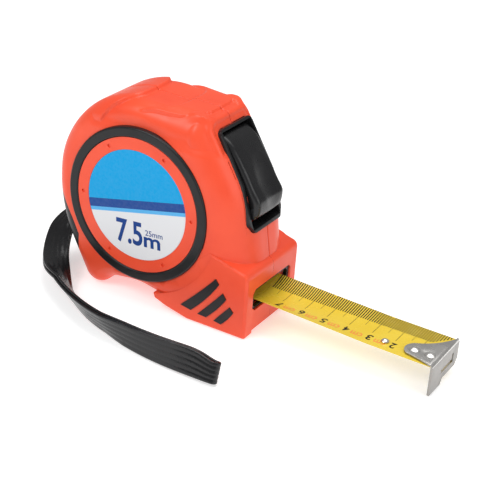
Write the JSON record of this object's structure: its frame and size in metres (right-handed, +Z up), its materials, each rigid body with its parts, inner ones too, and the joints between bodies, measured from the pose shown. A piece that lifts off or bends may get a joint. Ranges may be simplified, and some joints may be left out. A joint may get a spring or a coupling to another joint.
{
  "type": "tape measure",
  "caption": "Pocket tape measure: two-part case with rubber inserts, coiled steel blade with end hook, press-to-release lock button, belt clip and wrist strap.",
  "frame": {"origin": "on the flat base under the nose, midway between the two sides", "axes": "+X the way the blade runs out, +Y to the belt clip side, +Z up"},
  "size_m": [0.1817, 0.0866, 0.0872],
  "materials": {
    "case_red": "satin moulded plastic",
    "black_rubber": "soft matt overmould",
    "label_print": "printed gloss film",
    "black_plastic": "fine satin texture",
    "blade_yellow": "lacquered spring steel",
    "bright_steel": "bright nickel plate",
    "spring_steel": "oiled steel",
    "reel_plastic": "natural moulded plastic",
    "strap_vinyl": "glossy soft vinyl"
  },
  "bodies": {
    "case": {"left_shell": "case_red", "right_shell": "case_red", "left_side_plate": "case_red", "right_side_plate": "case_red", "left_grip_ring": "black_rubber", "right_grip_ring": "black_rubber", "nose_grips_left": "black_rubber", "nose_grips_right": "black_rubber", "rear_grip_left": "black_rubber", "rear_grip_right": "black_rubber", "label": "label_print", "button_bezel": "black_plastic", "mouth_guide": "black_plastic", "blade_lead": "blade_yellow", "belt_clip": "bright_steel", "clip_screw": "bright_steel", "case_screws": "bright_steel", "brake_spring": "spring_steel", "button_pin": "spring_steel", "brake_pivot_pin": "spring_steel", "strap_pin": "spring_steel", "centre_post": "reel_plastic", "thrust_washers": "reel_plastic", "wrist_strap": "strap_vinyl"},
    "reel": {"reel_drum": "reel_plastic", "spring_cover": "reel_plastic", "reel_flange_left": "reel_plastic", "reel_flange_right": "reel_plastic", "blade_coil": "blade_yellow", "power_spring": "spring_steel"},
    "blade": {"blade": "blade_yellow", "blade_stiffener": "spring_steel", "hook_rivets": "bright_steel", "blade_rivet": "bright_steel"},
    "hook": {"hook": "bright_steel"},
    "button": {"lock_button": "black_plastic"},
    "brake": {"brake_lever": "reel_plastic", "brake_pad": "black_rubber"}
  },
  "joints": [
    {"name": "reel_spin", "type": "hinge", "parent": "case", "child": "reel", "pos_m": [-0.0384, 0, 0.0433], "axis": [0, 1, 0], "range_deg": [0, 161.2], "deforming": ["power_spring"]},
    {"name": "blade_slide", "type": "slide", "parent": "case", "child": "blade", "axis": [1, 0, 0], "range_m": [-0.076, 0], "deforming": ["blade_lead"]},
    {"name": "hook_float", "type": "slide", "parent": "blade", "child": "hook", "axis": [1, 0, 0], "range_m": [0, 0.0009]},
    {"name": "button_press", "type": "hinge", "parent": "case", "child": "button", "pos_m": [-0.0088, 0, 0.0748], "axis": [0, 1, 0], "range_deg": [0, 4], "stiffness_Nm_per_rad": 0.4, "springref_deg": -1.72},
    {"name": "brake_rock", "type": "hinge", "parent": "case", "child": "brake", "pos_m": [-0.004, 0, 0.057], "axis": [0, 1, 0], "range_deg": [0, 15.7], "deforming": ["brake_spring"]}
  ],
  "couplings": [
    {"joint": "blade_slide", "follows": "reel_spin", "m_per_rad": -0.027},
    {"joint": "brake_rock", "follows": "button_press", "ratio": 3.9}
  ]
}
